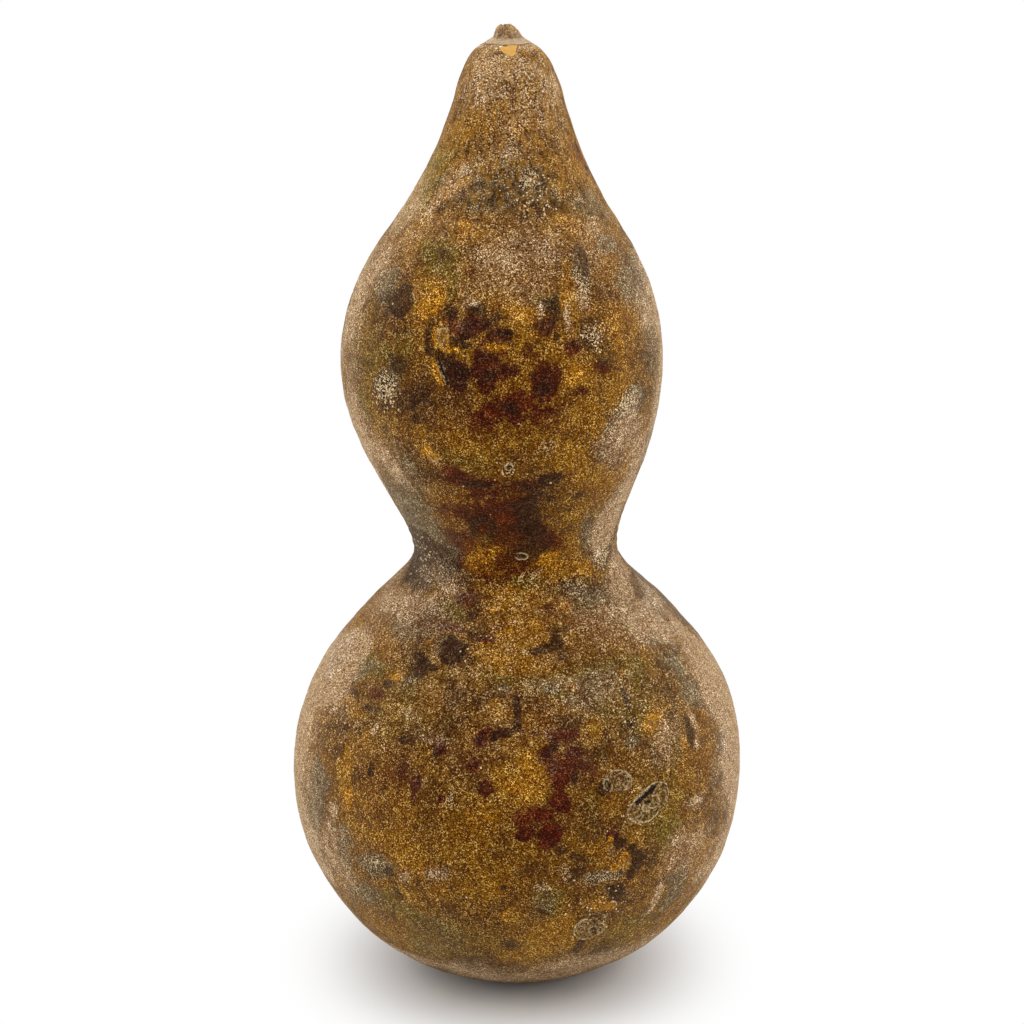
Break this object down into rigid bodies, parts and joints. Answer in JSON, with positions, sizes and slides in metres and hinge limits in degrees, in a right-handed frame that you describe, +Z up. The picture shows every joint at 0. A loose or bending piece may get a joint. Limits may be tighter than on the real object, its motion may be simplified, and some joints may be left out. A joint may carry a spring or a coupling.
{
  "type": "dried bottle gourd",
  "caption": "Whole dried bottle gourd with two bulbs, a narrow waist and a broken stem, made for a water bottle: woody rind round a spongy lining, pulp and seeds.",
  "frame": {"origin": "middle of the flat resting face, straight under the middle of the lower bulb", "axes": "+Z up to the stem, +X to the right in the picture, -Y towards the viewer"},
  "size_m": [0.142, 0.142, 0.2996],
  "materials": {
    "rind": "dry mottled gourd skin, uncleaned, with mould stains",
    "stem": "dry corky stem, broken across",
    "pith": "soft dry pith",
    "scar": "rough corky button",
    "lining": "spongy dried flesh",
    "web": "papery skin",
    "pulp": "shrunken dried pulp",
    "seeds": "hard smooth seed coat",
    "strands": "dry fibre"
  },
  "bodies": {
    "root": {"woody_shell": "rind", "stem_stub": "stem", "stem_pith": "pith", "blossom_scar": "scar", "inner_lining": "lining", "partition_web": "web", "pulp_lobe_1": "pulp", "pulp_lobe_2": "pulp", "pulp_lobe_3": "pulp", "lobe_seeds_1": "seeds", "lobe_seeds_2": "seeds", "lobe_seeds_3": "seeds", "loose_seeds": "seeds", "upper_pulp": "pulp", "pulp_strands": "strands"}
  },
  "joints": []
}
